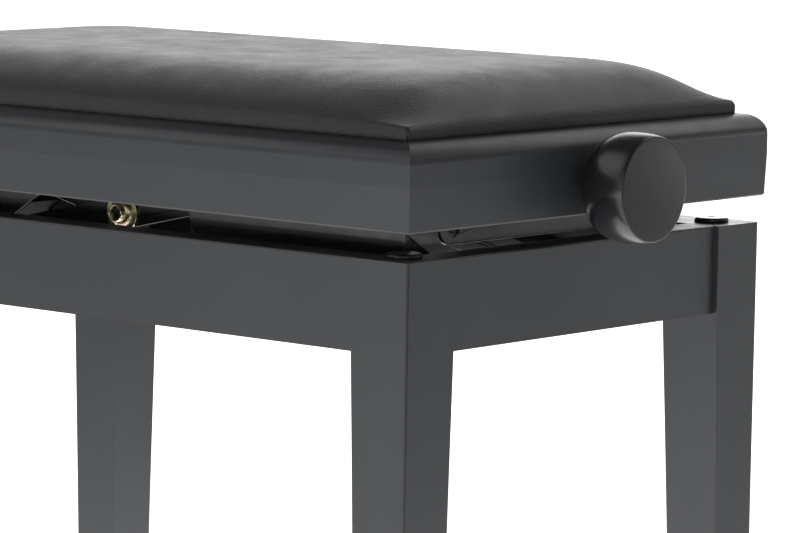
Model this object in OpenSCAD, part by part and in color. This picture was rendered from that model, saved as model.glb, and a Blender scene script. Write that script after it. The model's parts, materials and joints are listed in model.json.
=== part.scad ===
// Height-adjustable piano bench: a wooden leg frame, a padded seat frame, and between them
// a steel scissor lift that a spindle with a knob at each end raises and lowers.
// Millimetres. X runs along the bench, Y from front to back, Z up from the floor.
// The origin is on the floor under the middle of the bench. The seat stands at its rest height.

/* [Seat] */
// Length of the seat frame, over its outer faces
seat_l = 540; // [500:5:700]
// Depth of the seat frame, over its outer faces
seat_w = 330; // [320:5:420]
// Height of the seat rails
seat_rail_h = 49; // [48:1:66]
// Thickness of the seat rails
seat_rail_t = 22; // [18:0.5:26]
// Radius of the seat rails' upper outer edge
seat_edge_r = 12; // [4:0.5:14]
// How far the bottom of a seat rail leans in
rail_lean = 0.8; // [0:0.1:2]
// Width of the wooden ledge around the cushion
ledge = 13; // [8:0.5:16]
// Depth of the rebate in the seat rails that the cushion's board sits in
rebate_d = 5; // [3:0.5:6]
// Thickness of the plywood board under the cushion
board_t = 10; // [8:0.5:11]
// Thickness of the cushion's cover
cover_t = 1.5; // [1:0.1:2.5]
// Height of the cushion over the seat rails, at its crown
crown_h = 32.5; // [28:0.5:60]
// Height of the cushion's upright side over the seat rails
cushion_side_h = 7.5; // [7:0.5:12]
// How far in from the cushion's edge its crown still rises
crown_run = 105; // [60:5:130]

/* [Leg frame] */
// Height of the leg frame's top over the floor
frame_top = 385; // [330:5:460]
// How far the seat frame overhangs the legs, on each side
overhang = 3; // [0:0.5:8]
// Width of a leg at its top
leg_w = 40; // [36:1:50]
// Width of a leg at its foot
foot_w = 30; // [26:0.5:36]
// How far the legs stand proud of the aprons
leg_proud = 3; // [0:0.5:5]
// Height of the aprons
apron_h = 52; // [48:1:80]
// Thickness of the aprons
apron_t = 20; // [16:0.5:22]
// Diameter of the foot glides
glide_d = 20; // [14:0.5:24]
// Height of a foot glide under its leg
glide_h = 3; // [2:0.5:6]
// Diameter of the bumpers on the legs
bumper_d = 20.5; // [14:0.5:24]
// Height of the bumpers on the legs
bumper_h = 2.8; // [2:0.1:4]

/* [Lift] */
// Gap between the leg frame and the seat frame at rest
rest_gap = 16; // [14:0.5:22]
// Distance between the pivots at a scissor arm's ends
arm_l = 400; // [360:5:400]
// Rise of a scissor arm from its lower to its upper pivot, at rest
arm_rise = 88; // [84:1:90]
// Width of a scissor arm
arm_w = 20; // [19:0.5:21]
// Thickness of a scissor arm
arm_t = 3; // [2:0.5:4]
// Thickness of the sheet steel rails and plates
sheet_t = 2.5; // [1.5:0.5:3]
// Thickness of the cleats between the end aprons and the lower rails
cleat_t = 16; // [14:1:20]
// Height of the lower steel rails' cheeks over the leg frame's top
cheek_up = 17; // [10:1:20]
// Width of the opening between two cheeks of one lower rail, at its top
cheek_gap = 111; // [90:1:130]

/* [Spindle and knobs] */
// Diameter of the spindle
spindle_d = 12; // [10:0.5:14]
// Height of the spindle over the seat rails' bottom
spindle_up = 17; // [15:0.5:20]
// Largest diameter of a knob
knob_d = 63.4; // [50:0.2:70]
// How much smaller a knob's flat face is than the knob, in radius
knob_face_in = 2.7; // [2:0.1:8]
// Length of a knob along the spindle
knob_t = 37.4; // [32:0.2:45]
// Gap between a knob and the seat rail
knob_gap = 3; // [2:0.5:6]
// Diameter of the cross rod that the drive nut pushes
rod_d = 10; // [8:0.5:12]

/* [Fits] */
// Radial clearance of a pin, screw or shaft in its hole
pin_clear = 0.05; // [0.03:0.01:0.1]
// Gap between the legs and the lower steel rails
rail_leg_gap = 3; // [1:0.5:8]
// Gap between an end apron and the spindle plate that dips behind it
plate_gap = 3.5; // [2:0.5:5]
// Gap between the spindle and the cross rod above it
rod_gap = 3; // [2:0.5:4]
// Gap between the lower rails and the scissor arms, which takes the middle nuts
arm_rail_gap = 10; // [8:0.5:12]
// Sideways gap between layers of steel that pass each other
layer_gap = 1; // [0.8:0.1:1.4]
// Radial play of the middle pivots and of the sliding pins
slide_play = 0.9; // [0.8:0.1:1.5]
// Play of the cross rod along the arms that it drives
drive_play_along = 2.4; // [2.2:0.1:4]
// Play of the cross rod across the arms that it drives
drive_play_across = 1.5; // [1.4:0.1:2]

/* [Hidden] */
$fn = 48;
eps = 0.01;

// Levels
seat_z = frame_top + rest_gap;
seat_top = seat_z + seat_rail_h;
board_z = seat_top - rebate_d;
spindle_z = seat_z + spindle_up;
apron_z = frame_top - apron_h;

// Leg frame
base_l = seat_l - 2 * overhang;
base_w = seat_w - 2 * overhang;
apron_inset = overhang + leg_proud;
apron_in_x = seat_l / 2 - apron_inset - apron_t;
apron_in_y = seat_w / 2 - apron_inset - apron_t;
tenon_t = 8;
tenon_l = 15;
tenon_cut = 8;
tenon_clear = 0.1;
glue_block_l = 30;
edge_r = 1.2;

// Scissor: all pivots lie on one angle at rest
arm_angle = asin(arm_rise / arm_l);
pivot_x = arm_l * cos(arm_angle) / 2;
high_z = spindle_z + spindle_d / 2 + rod_gap + rod_d / 2;
low_z = high_z - arm_rise;
middle_z = (low_z + high_z) / 2;
pin_d = 8;
pin_head_d = 13;
pin_head_t = 2;
pin_float = 0.4;
middle_washer_d = 24;

// Layers of steel from the outside in, as distances from the middle plane of the bench
rail_y = base_w / 2 - leg_w - rail_leg_gap;
rail_x = apron_in_x - cleat_t;
drive_y = rail_y - sheet_t - arm_rail_gap;
slide_y = drive_y - 2 * arm_t;
upper_y = slide_y - arm_t - layer_gap;

// Lift travel, down to the bumpers and up to the end of the thread
travel_down = rest_gap - bumper_h - 0.2;
travel_up = 82;
angle_low = asin((arm_rise - travel_down) / arm_l);
angle_high = asin((arm_rise + travel_up) / arm_l);
reach_low = arm_l * cos(angle_low) - pivot_x;
reach_high = arm_l * cos(angle_high) - pivot_x;
slot_in = reach_high - 2;
slot_out = reach_low + 2;

// Lower steel rails
rail_below_pivots = 9;
rail_low = low_z - rail_below_pivots;
notch_clear_below = 7.5;
middle_low = middle_z - travel_down / 2 - middle_washer_d / 2 - notch_clear_below;
notch_shift = 7.5;
notch_lean_right = 8;
notch_lean_left = 60;
flange_y = 58;
flange_up = 9.5;
flange_top = frame_top + flange_up;
flange_slope = 0.594;
cross_bar_w = 30;
cross_bar_x = 40;
cleat_h = 30;
plate_drop = 13;
plate_floor_gap = 9;
cleat_z = seat_z - plate_drop - travel_down - plate_floor_gap - cleat_h;
cleat_gap = 1;

// Upper steel rails and spindle plates
upper_rail_h = 24;
upper_flange = 20;
plate_x = apron_in_x - plate_gap - sheet_t;
plate_w = 2 * (rail_y - 16);
plate_corner_r = 8;
plate_hole_d = 10.4;
plate_hole_y = plate_w / 2 - 11.6;
plate_hole_up = 3.4;
plate_flange = 18;
upper_l = 2 * (plate_x - plate_flange - 1);
bush_d = spindle_d + 6;
bush_flange_d = spindle_d + 12;
bush_flange_t = 1.5;
collar_d = spindle_d + 12;
collar_t = 8;
hole_around_spindle = 2;

// Screws
wood_screw_d = 4;
wood_screw_l = 10;
wood_head_d = 8;
wood_head_t = 2.2;
recess_l = 3.6;
recess_w = 0.8;
recess_h = 1.2;

// Cushion and its board
board_inset = ledge + cover_t;
board_l = seat_l - 2 * board_inset;
board_w = seat_w - 2 * board_inset;
board_r = 4;
rebate_clear = 0.5;
crown_power = 5;
crown_steps = 7;

// Drive nut
nut_x = 26;
nut_y = 30;
nut_wall = 6;
knob_profile_steps = 14;
spindle_in_knob = 24;

// Stems of the glides and bumpers, in the ends of the legs
stem_d = 6;
stem_l = 12;
stem_hole_d = stem_d + 2 * pin_clear;
bumper_edge_r = 1.4;
bumper_dimple = 0.6;
bumper_dimple_d = 5;

// Screws of the end cleats and of the lower rails' folded ends
cleat_mid = cleat_z + cleat_h / 2;
flange_screw_y = [for (s = [-1, 1], inset = [20, 45]) s * (rail_y - inset)];
cleat_screw_y = [-30, 30];
cleat_screw_bite = 12;

// Screws that hold the upper steel to the board
rail_screw_x = [-upper_l / 2 + 12, -upper_l / 6, upper_l / 6, upper_l / 2 - 12];
rail_screw_y = upper_y - sheet_t - upper_flange / 2;
plate_screw_x = plate_x - plate_flange / 2;
plate_screw_y = [-60, 60];
board_screw_l = board_t - 3;

// Tubes that tie each pair of arms
tie_d = 14;
tie_wall = 1.5;
tie_along = 46;

// Middle pivots
washer_t = 1.6;
middle_nut_w = 13;
middle_nut_t = 6;
middle_collar_d = 11;
middle_collar_t = 2.4;
middle_flange_d = 17;
middle_flange_t = 1.2;
middle_recess = 2;
middle_head_t = 5;

// Knobs and cross rod
spindle_end = seat_l / 2 + knob_gap + spindle_in_knob;
knob_hub_r = 11;
knob_back_in = 8;
knob_back_t = 4;
knob_widest = 22;
knob_shoulder_turn = 62;
grub_d = 5;
grub_x = 9;
grub_l = 8;
rod_half = drive_y + layer_gap + washer_t + 4;
clip_t = 1.2;

// ---------- helpers ----------

// A rectangle with rounded corners, centred on the origin
module soft_rect(l, w, r) {
    square([l - 2 * r, w], center = true);
    square([l, w - 2 * r], center = true);
    for (x = [-1, 1], y = [-1, 1]) translate([x * (l / 2 - r), y * (w / 2 - r)]) circle(r);
}

// A slot of a given length between its end centres
module slot_2d(l, d) {
    translate([0, -d / 2]) square([l, d]);
    circle(d = d);
    translate([l, 0]) circle(d = d);
}

// Extrudes a shape drawn in X and Z through a thickness, from y0 towards +Y
module wall_y(y0, t) {
    translate([0, y0 + t, 0]) rotate([90, 0, 0]) linear_extrude(t) children();
}

// Extrudes a shape drawn in Y and Z through a thickness, from x0 towards +X
module wall_x(x0, t) {
    translate([x0, 0, 0]) rotate([90, 0, 90]) linear_extrude(t) children();
}

// A cylinder along Y from y0 to y1
module rod_y(x, z, d, y0, y1) {
    translate([x, max(y0, y1), z]) rotate([90, 0, 0]) cylinder(d = d, h = abs(y1 - y0));
}

// A cylinder along X from x0 to x1
module rod_x(y, z, d, x0, x1) {
    translate([min(x0, x1), y, z]) rotate([0, 90, 0]) cylinder(d = d, h = abs(x1 - x0));
}

// Draws its children at the front, or mirrored at the back
module side_y(s) {
    mirror([0, s < 0 ? 0 : 1, 0]) children();
}

// Draws its children at the left end, or mirrored at the right end
module side_x(s) {
    mirror([s < 0 ? 0 : 1, 0, 0]) children();
}

// Turns the front side into the front, right, back or left one, for turn = 0 to 3
module side(turn) {
    rotate([0, 0, 90 * turn]) children();
}

// Half the bench's length or depth along a side, and from the middle to that side
function half_along(turn, l, w) = (turn % 2 == 0 ? l : w) / 2;
function half_across(turn, l, w) = (turn % 2 == 0 ? w : l) / 2;

// ---------- leg frame ----------

// A leg in its own corner: its outer faces lie on x = 0 and y = 0
module leg_blank() {
    h = frame_top - glide_h;
    shoulder = apron_z - glide_h;
    outline = [[0, 0], [foot_w, 0], [leg_w, shoulder], [leg_w, h], [0, h]];
    intersection() {
        translate([0, 0, glide_h]) wall_y(0, leg_w) polygon(outline);
        translate([0, 0, glide_h]) wall_x(0, leg_w) polygon(outline);
        linear_extrude(frame_top) leg_section();
    }
}

// The leg's section, with its outer corner rounded
module leg_section() {
    difference() {
        square(leg_w);
        difference() {
            translate([-1, -1]) square(edge_r + 1);
            translate([edge_r, edge_r]) circle(edge_r);
        }
    }
}

// The two mortises for the aprons' tenons
module leg_mortises() {
    c = tenon_clear;
    across = leg_proud + (apron_t - tenon_t) / 2;
    for (m = [0, 1]) mirror([m, -m, 0])
        translate([leg_w - tenon_l - c, across - c, apron_z + tenon_cut - c])
            cube([tenon_l + c + 1, tenon_t + 2 * c, apron_h - 2 * tenon_cut + 2 * c]);
}

// The stem hole of the bumper on top and of the glide below
module leg_stem_holes() {
    translate([leg_w / 2, leg_w / 2, frame_top - stem_l - 1]) cylinder(d = stem_hole_d, h = stem_l + 2);
    translate([foot_w / 2, foot_w / 2, glide_h - 1]) cylinder(d = stem_hole_d, h = stem_l + 2);
}

// Draws its children in one of the four corners of the leg frame
module corner(sx, sy) {
    side_x(sx) side_y(sy) translate([-base_l / 2, -base_w / 2, 0]) children();
}

module leg(sx, sy) {
    color("#26282a") corner(sx, sy) difference() {
        leg_blank();
        leg_mortises();
        leg_stem_holes();
    }
}

module apron(turn) {
    half = half_along(turn, base_l, base_w) - leg_w;
    out = half_across(turn, base_l, base_w) - leg_proud;
    color("#2a2c2e") side(turn) {
        difference() {
            wall_x(-half, 2 * half) translate([-out, apron_z]) apron_section();
            if (turn % 2 == 1) for (y = cleat_screw_y)
                rod_y(y, cleat_mid, wood_screw_d + 2 * pin_clear, -out + apron_t - cleat_screw_bite - 1,
                      -out + apron_t + 1);
        }
        for (s = [-1, 1]) side_x(s)
            translate([-half - tenon_l, -out + (apron_t - tenon_t) / 2, apron_z + tenon_cut])
                cube([tenon_l, tenon_t, apron_h - 2 * tenon_cut]);
    }
}

// An apron's section with its upper outer edge rounded
module apron_section() {
    difference() {
        square([apron_t, apron_h]);
        translate([0, apron_h]) edge_cut(edge_r);
    }
}

// What a round-over takes off an upper corner that lies on the origin
module edge_cut(r) {
    difference() {
        translate([-1, -r]) square([r + 1, r + 1]);
        translate([r, -r]) circle(r);
    }
}

module glue_blocks() {
    deep = leg_proud + apron_t;
    color("#1f2021") for (sx = [-1, 1], sy = [-1, 1]) corner(sx, sy)
        translate([leg_w, deep, cleat_z]) cube([glue_block_l, leg_w - deep, cleat_h]);
}

module end_cleat(s) {
    half = base_w / 2 - leg_w - cleat_gap;
    color("#1f2021") side_x(s) difference() {
        translate([-apron_in_x, -half, cleat_z]) cube([cleat_t, 2 * half, cleat_h]);
        for (y = flange_screw_y) screw_hole_x(-rail_x, y, cleat_mid);
        for (y = cleat_screw_y)
            rod_x(y, cleat_mid, wood_screw_d + 2 * pin_clear, -apron_in_x - 1, -rail_x + 1);
    }
}

// A pilot hole that a screw along X fills, from the face x0 outwards to the left
module screw_hole_x(x0, y, z) {
    rod_x(y, z, wood_screw_d + 2 * pin_clear, x0 - wood_screw_l, x0 + 1);
}

// A wood screw along X, its head's inner face on x0, pointing to the left
module screw_x(x0, y, z, l) {
    rod_x(y, z, wood_screw_d, x0 - l, x0 + eps);
    pan_head_x(x0, y, z);
}

// A pan head with a cross recess, its flat face on x0
module pan_head_x(x0, y, z) {
    translate([x0, y, z]) rotate([0, 90, 0]) pan_head();
}

// A pan head on the XY plane
module pan_head() {
    difference() {
        intersection() {
            cylinder(d = wood_head_d, h = wood_head_t);
            translate([0, 0, wood_head_t - wood_head_d]) sphere(wood_head_d);
        }
        for (a = [0, 90]) rotate([0, 0, a]) translate([-recess_l / 2, -recess_w / 2, wood_head_t - recess_h])
            cube([recess_l, recess_w, recess_h + 1]);
    }
}

module cleat_screws() {
    l = cleat_t + cleat_screw_bite;
    color("#b9a24c") for (s = [-1, 1], y = cleat_screw_y) side_x(s) screw_x(-rail_x, y, cleat_mid, l);
}

module lower_rail_screws() {
    color("#b9a24c") for (s = [-1, 1], y = flange_screw_y)
        side_x(s) screw_x(-rail_x + sheet_t, y, cleat_mid, wood_screw_l + sheet_t - 1);
}

module foot_glides() {
    color("#1a1a1b") for (sx = [-1, 1], sy = [-1, 1]) corner(sx, sy)
        translate([foot_w / 2, foot_w / 2, 0]) {
            cylinder(d1 = glide_d - 2, d2 = glide_d, h = 1);
            translate([0, 0, 1]) cylinder(d = glide_d, h = glide_h - 1);
            translate([0, 0, glide_h - eps]) cylinder(d = stem_d, h = stem_l);
        }
}

module leg_bumpers() {
    color("#141415") for (sx = [-1, 1], sy = [-1, 1]) corner(sx, sy)
        translate([leg_w / 2, leg_w / 2, frame_top]) {
            translate([0, 0, -stem_l]) cylinder(d = stem_d, h = stem_l + eps);
            rotate_extrude() bumper_half();
        }
}

// Half of a bumper's disc: a rounded rim, and a small dimple in the middle
module bumper_half() {
    difference() {
        square([bumper_d / 2, bumper_h]);
        translate([bumper_d / 2, bumper_h]) mirror([1, 0]) edge_cut(bumper_edge_r);
        translate([0, bumper_h - bumper_dimple]) square([bumper_dimple_d / 2, bumper_dimple + 1]);
    }
}

// ---------- lower steel frame ----------

// The lower rail's web: two cheeks, joined below the middle pivot
module lower_web_2d() {
    top = frame_top + cheek_up;
    right = notch_shift + cheek_gap / 2;
    left = notch_shift - cheek_gap / 2;
    polygon([[-rail_x, rail_low], [rail_x, rail_low], [rail_x, top], [right, top],
             [right + notch_lean_right, middle_low], [left - notch_lean_left, middle_low],
             [left, top], [-rail_x, top]]);
}

module lower_rail(s) {
    color("#1c1d1f") side_y(s) {
        difference() {
            wall_y(-rail_y, sheet_t) lower_web_2d();
            rod_y(-pivot_x, low_z, pin_d + 2 * pin_clear, -rail_y - 1, -rail_y + sheet_t + 1);
            wall_y(-rail_y - 1, sheet_t + 2) translate([slot_in, low_z])
                slot_2d(slot_out - slot_in, pin_d + 2 * slide_play);
        }
        for (x = [-1, 1]) side_x(x) difference() {
            wall_x(-rail_x, sheet_t) lower_flange_2d();
            for (y = flange_screw_y) if (y < 0)
                rod_x(y, cleat_mid, wood_screw_d + 2 * pin_clear, -rail_x - 1, -rail_x + sheet_t + 1);
        }
    }
}

// The folded end of a lower rail, whose upper edge slopes down from the cheek
module lower_flange_2d() {
    y0 = -rail_y + sheet_t;
    polygon([[y0, rail_low], [y0 + flange_y, rail_low],
             [y0 + flange_y, flange_top - flange_slope * flange_y], [y0, flange_top]]);
}

module lower_cross_bar(s) {
    half = rail_y - sheet_t;
    color("#1c1d1f") side_x(s) translate([-cross_bar_x - cross_bar_w / 2, -half, rail_low + 1])
        cube([cross_bar_w, 2 * half, sheet_t]);
}

module lower_pivot_pins() {
    inner = -drive_y + arm_t + pin_float;
    color("#c8b25a") for (s = [-1, 1]) side_y(s) {
        rod_y(-pivot_x, low_z, pin_d, -rail_y - eps, inner + eps);
        rod_y(-pivot_x, low_z, pin_head_d, -rail_y + sheet_t, -drive_y - pin_float);
        rod_y(-pivot_x, low_z, pin_head_d, -rail_y - pin_head_t, -rail_y);
        rod_y(-pivot_x, low_z, pin_head_d, inner, inner + pin_head_t);
    }
}

// ---------- scissor arms ----------

// Draws its children in an arm's own frame, its first pivot on the origin and rising by an angle
module arm_place(x, z, angle) {
    translate([x, 0, z]) rotate([0, -angle, 0]) children();
}

// An arm drawn along X from its first pivot
module arm_blank(y0) {
    wall_y(y0, arm_t) slot_2d(arm_l, arm_w);
}

module drive_arm(s) {
    color("#202124") side_y(s) arm_place(-pivot_x, low_z, arm_angle) difference() {
        arm_blank(-drive_y);
        rod_y(0, 0, pin_d + 2 * pin_clear, -drive_y - 1, -drive_y + arm_t + 1);
        rod_y(arm_l / 2, 0, pin_d + 2 * pin_clear, -drive_y - 1, -drive_y + arm_t + 1);
        wall_y(-drive_y - 1, arm_t + 2) translate([arm_l - drive_play_along, 0])
            slot_2d(2 * drive_play_along, rod_d + 2 * drive_play_across);
    }
}

module slide_arm(s) {
    color("#202124") side_y(s) arm_place(-pivot_x, high_z, -arm_angle) difference() {
        arm_blank(-slide_y);
        rod_y(0, 0, pin_d + 2 * pin_clear, -slide_y - 1, -slide_y + arm_t + 1);
        rod_y(arm_l / 2, 0, pin_d + 2 * slide_play, -slide_y - 1, -slide_y + arm_t + 1);
        rod_y(arm_l, 0, pin_d + 2 * pin_clear, -slide_y - 1, -slide_y + arm_t + 1);
    }
}

// A tube across the bench between the two arms of a pair
module tie_tube(along, half) {
    difference() {
        rod_y(along, 0, tie_d, -half, half);
        rod_y(along, 0, tie_d - 2 * tie_wall, -half - 1, half + 1);
    }
}

module drive_arm_tie_tube() {
    color("#202124") arm_place(-pivot_x, low_z, arm_angle) tie_tube(tie_along, drive_y - arm_t);
}

module slide_arm_tie_tube() {
    color("#202124") arm_place(-pivot_x, high_z, -arm_angle) tie_tube(arm_l - tie_along, slide_y - arm_t);
}

module middle_bolts() {
    outer = -drive_y - washer_t - middle_nut_t + middle_recess;
    inner = -slide_y + arm_t + layer_gap / 2;
    color("#c8b25a") for (s = [-1, 1]) side_y(s) {
        rod_y(0, middle_z, pin_d, outer, inner + eps);
        translate([0, inner + middle_head_t, middle_z]) rotate([90, 0, 0])
            cylinder(d = middle_nut_w * 2 / sqrt(3), h = middle_head_t, $fn = 6);
    }
}

module washer_y(x, z, d, hole, y0) {
    difference() {
        rod_y(x, z, d, y0, y0 + washer_t);
        rod_y(x, z, hole, y0 - 1, y0 + washer_t + 1);
    }
}

// One large washer under each nut, and one small one between the two arms
module middle_washers() {
    color("#c8b25a") for (s = [-1, 1]) side_y(s) {
        washer_y(0, middle_z, middle_washer_d, pin_d + 2 * pin_clear, -drive_y - washer_t);
        washer_y(0, middle_z, pin_d + 8, pin_d + 2 * pin_clear, -drive_y + arm_t + eps);
    }
}

// Lock nuts: a hexagon on a round flange, with a collar that stands out past the bolt's end
module middle_nuts() {
    seat = -drive_y - washer_t;
    color("#c8b25a") for (s = [-1, 1]) side_y(s) difference() {
        union() {
            rod_y(0, middle_z, middle_flange_d, seat - middle_flange_t, seat);
            translate([0, seat, middle_z]) rotate([90, 0, 0])
                cylinder(d = middle_nut_w * 2 / sqrt(3), h = middle_nut_t - middle_collar_t, $fn = 6);
            rod_y(0, middle_z, middle_collar_d, seat - middle_nut_t, seat);
        }
        rod_y(0, middle_z, pin_d + 2 * pin_clear, seat - middle_nut_t - 1, -drive_y);
    }
}

module slide_pins() {
    inner = -slide_y + arm_t;
    outer = -rail_y - 0.5;
    color("#c8b25a") for (s = [-1, 1]) side_y(s) {
        rod_y(pivot_x, low_z, pin_d, outer - eps, inner + eps);
        rod_y(pivot_x, low_z, pin_head_d, inner, inner + pin_head_t);
        rod_y(pivot_x, low_z, pin_head_d, outer - pin_head_t, outer);
        rod_y(pivot_x, low_z, pin_head_d, -slide_y - pin_head_t, -slide_y);
    }
}

// ---------- seat frame ----------

// A seat rail's section: its outer face on x = 0, leaning in towards the bottom
module seat_rail_2d() {
    low_r = 1;
    difference() {
        polygon([[rail_lean + low_r, 0], [rail_lean, low_r], [0, seat_rail_h / 2], [0, seat_rail_h],
                 [seat_rail_t, seat_rail_h], [seat_rail_t, 0]]);
        translate([0, seat_rail_h]) edge_cut(seat_edge_r);
        translate([ledge - rebate_clear, seat_rail_h - rebate_d]) square([seat_rail_t, rebate_d + 1]);
    }
}

// A rail with mitred ends
module seat_rail(turn) {
    half = half_along(turn, seat_l, seat_w);
    out = half_across(turn, seat_l, seat_w);
    t = seat_rail_t;
    color("#2b2d2f") side(turn) difference() {
        intersection() {
            wall_x(-half, 2 * half) translate([-out, seat_z]) seat_rail_2d();
            translate([0, 0, seat_z - 1]) linear_extrude(seat_rail_h + 2)
                polygon([[-half, -out], [half, -out], [half - t, -out + t], [-half + t, -out + t]]);
        }
        if (turn % 2 == 1)
            rod_y(0, spindle_z, spindle_d + 2 * hole_around_spindle, -out - 1, -out + t + 1);
    }
}

module seat_corner_blocks() {
    size = 34;
    h = 20;
    x = seat_l / 2 - seat_rail_t;
    y = seat_w / 2 - seat_rail_t;
    color("#1f2021") for (sx = [-1, 1], sy = [-1, 1]) side_x(sx) side_y(sy)
        translate([-x, -y, board_z - h]) linear_extrude(h) polygon([[0, 0], [size, 0], [0, size]]);
}

module board_screw_holes() {
    d = wood_screw_d + 2 * pin_clear;
    h = sheet_t + board_screw_l + 1.2;
    for (s = [-1, 1], x = rail_screw_x)
        translate([x, s * rail_screw_y, board_z - sheet_t - 1]) cylinder(d = d, h = h);
    for (s = [-1, 1], y = plate_screw_y)
        translate([s * plate_screw_x, y, board_z - sheet_t - 1]) cylinder(d = d, h = h);
}

module board_screws() {
    color("#b9a24c") {
        for (s = [-1, 1], x = rail_screw_x) screw_up(x, s * rail_screw_y);
        for (s = [-1, 1], y = plate_screw_y) screw_up(s * plate_screw_x, y);
    }
}

// A screw pointing up through the sheet into the board
module screw_up(x, y) {
    translate([x, y, board_z - sheet_t]) {
        translate([0, 0, -eps]) cylinder(d = wood_screw_d, h = sheet_t + board_screw_l + eps);
        mirror([0, 0, 1]) pan_head();
    }
}

module seat_board() {
    color("#3a352f") difference() {
        translate([0, 0, board_z]) linear_extrude(board_t) soft_rect(board_l, board_w, board_r);
        board_screw_holes();
    }
}

// How high the cushion has risen over its upright side, at a distance in from its edge
function crown_rise(inset) = (crown_h - cushion_side_h) * (1 - pow(1 - inset / crown_run, crown_power));

// Four posts at the corners of a layer of the cushion, inset from the ledge
module cushion_layer(inset, z, h) {
    r = board_r + cover_t + inset / 2;
    x = seat_l / 2 - ledge - inset - r;
    y = seat_w / 2 - ledge - inset - r;
    for (sx = [-1, 1], sy = [-1, 1]) translate([sx * x, sy * y, z]) cylinder(r = r, h = h, $fn = 32);
}

// The cushion's crowned outer shape, or the same shape a skin's thickness inside it
module cushion_shape(skin, low) {
    hull() {
        cushion_layer(skin, low, seat_top + cushion_side_h - skin - low);
        for (i = [1 : crown_steps]) let (inset = crown_run * 0.6 * pow(i / crown_steps, 1.5))
            cushion_layer(inset + skin, seat_top + cushion_side_h + crown_rise(inset) - skin - 0.5, 0.5);
    }
}

module foam_core() {
    color("#d8cfa8") cushion_shape(cover_t, board_z + board_t);
}

// The leatherette cover, pulled over the foam and down the board's edges
module cushion_cover() {
    color("#232325") difference() {
        cushion_shape(0, board_z);
        translate([0, 0, board_z - 1]) linear_extrude(board_t + 1) soft_rect(board_l, board_w, board_r);
        cushion_shape(cover_t, board_z + board_t - eps);
    }
}

module upper_rail(s) {
    color("#1c1d1f") side_y(s) difference() {
        union() {
            wall_y(-upper_y, sheet_t) translate([-upper_l / 2, board_z - upper_rail_h])
                square([upper_l, upper_rail_h]);
            translate([-upper_l / 2, -upper_y, board_z - sheet_t])
                cube([upper_l, sheet_t + upper_flange, sheet_t]);
        }
        rod_y(-pivot_x, high_z, pin_d + 2 * pin_clear, -upper_y - 1, -upper_y + sheet_t + 1);
        wall_y(-upper_y - 1, sheet_t + 2) translate([slot_in - 2, high_z])
            slot_2d(slot_out - slot_in + 4, rod_d + 0.6);
        board_screw_holes();
    }
}

// The plate that carries one end of the spindle, hanging from the board
module spindle_plate(s) {
    h = board_z - seat_z + plate_drop;
    r = plate_corner_r;
    color("#1c1d1f") side_x(s) difference() {
        union() {
            wall_x(-plate_x - sheet_t, sheet_t) translate([0, board_z - h]) {
                translate([-plate_w / 2, r]) square([plate_w, h - r]);
                translate([-plate_w / 2 + r, 0]) square([plate_w - 2 * r, h]);
                for (y = [-1, 1]) translate([y * (plate_w / 2 - r), r]) circle(r);
            }
            translate([-plate_x - sheet_t, -plate_w / 2, board_z - sheet_t])
                cube([sheet_t + plate_flange, plate_w, sheet_t]);
        }
        rod_x(0, spindle_z, bush_d + 2 * pin_clear, -plate_x - sheet_t - 1, -plate_x + 1);
        for (y = [-1, 1]) rod_x(y * plate_hole_y, seat_z - plate_hole_up, plate_hole_d,
            -plate_x - sheet_t - 1, -plate_x + 1);
        board_screw_holes();
    }
}

module spindle_bushes() {
    color("#d9d6cc") for (s = [-1, 1]) side_x(s) difference() {
        union() {
            rod_x(0, spindle_z, bush_d, -plate_x - sheet_t, -plate_x + eps);
            rod_x(0, spindle_z, bush_flange_d, -plate_x, -plate_x + bush_flange_t);
        }
        rod_x(0, spindle_z, spindle_d + 2 * pin_clear, -plate_x - sheet_t - 1, -plate_x + bush_flange_t + 1);
    }
}

module upper_pivot_pins() {
    outer = -slide_y - pin_float;
    inner = -upper_y + sheet_t;
    color("#c8b25a") for (s = [-1, 1]) side_y(s) {
        rod_y(-pivot_x, high_z, pin_d, outer - eps, inner + eps);
        rod_y(-pivot_x, high_z, pin_head_d, outer - pin_head_t, outer);
        rod_y(-pivot_x, high_z, pin_head_d, inner, inner + pin_head_t);
    }
}

// ---------- spindle, knobs and drive nut ----------

module spindle() {
    color("#9a9a96") rod_x(0, spindle_z, spindle_d, -spindle_end, spindle_end);
}

module spindle_collars() {
    x0 = -plate_x + bush_flange_t + 0.5;
    color("#8f8f8b") for (s = [-1, 1]) side_x(s) difference() {
        rod_x(0, spindle_z, collar_d, x0, x0 + collar_t);
        rod_x(0, spindle_z, spindle_d + 2 * pin_clear, x0 - 1, x0 + collar_t + 1);
    }
}

// Half of a knob's outline, from its back on the axis to its flat face.
// A hub, then a barrel that bulges to the full diameter and ends in a smaller face.
function knob_outline() = let (
        r = knob_d / 2,
        f = r - knob_face_in,
        b = r - knob_back_in,
        wide = knob_widest,
        back = knob_back_t,
        turn = knob_shoulder_turn
    ) concat(
        [[0, 0], [knob_hub_r, 0], [knob_hub_r, back - 1], [b - 2, back]],
        [for (i = [0 : knob_profile_steps]) let (a = 90 * i / knob_profile_steps)
            [b + (r - b) * sin(a), wide - (wide - back - 1.5) * cos(a)]],
        [for (i = [1 : knob_profile_steps]) let (a = turn * i / knob_profile_steps)
            [f + 0.6 + (r - f - 0.6) * (cos(a) - cos(turn)) / (1 - cos(turn)),
             wide + (knob_t - 0.6 - wide) * sin(a) / sin(turn)]],
        [[f, knob_t], [0, knob_t]]
    );

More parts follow.
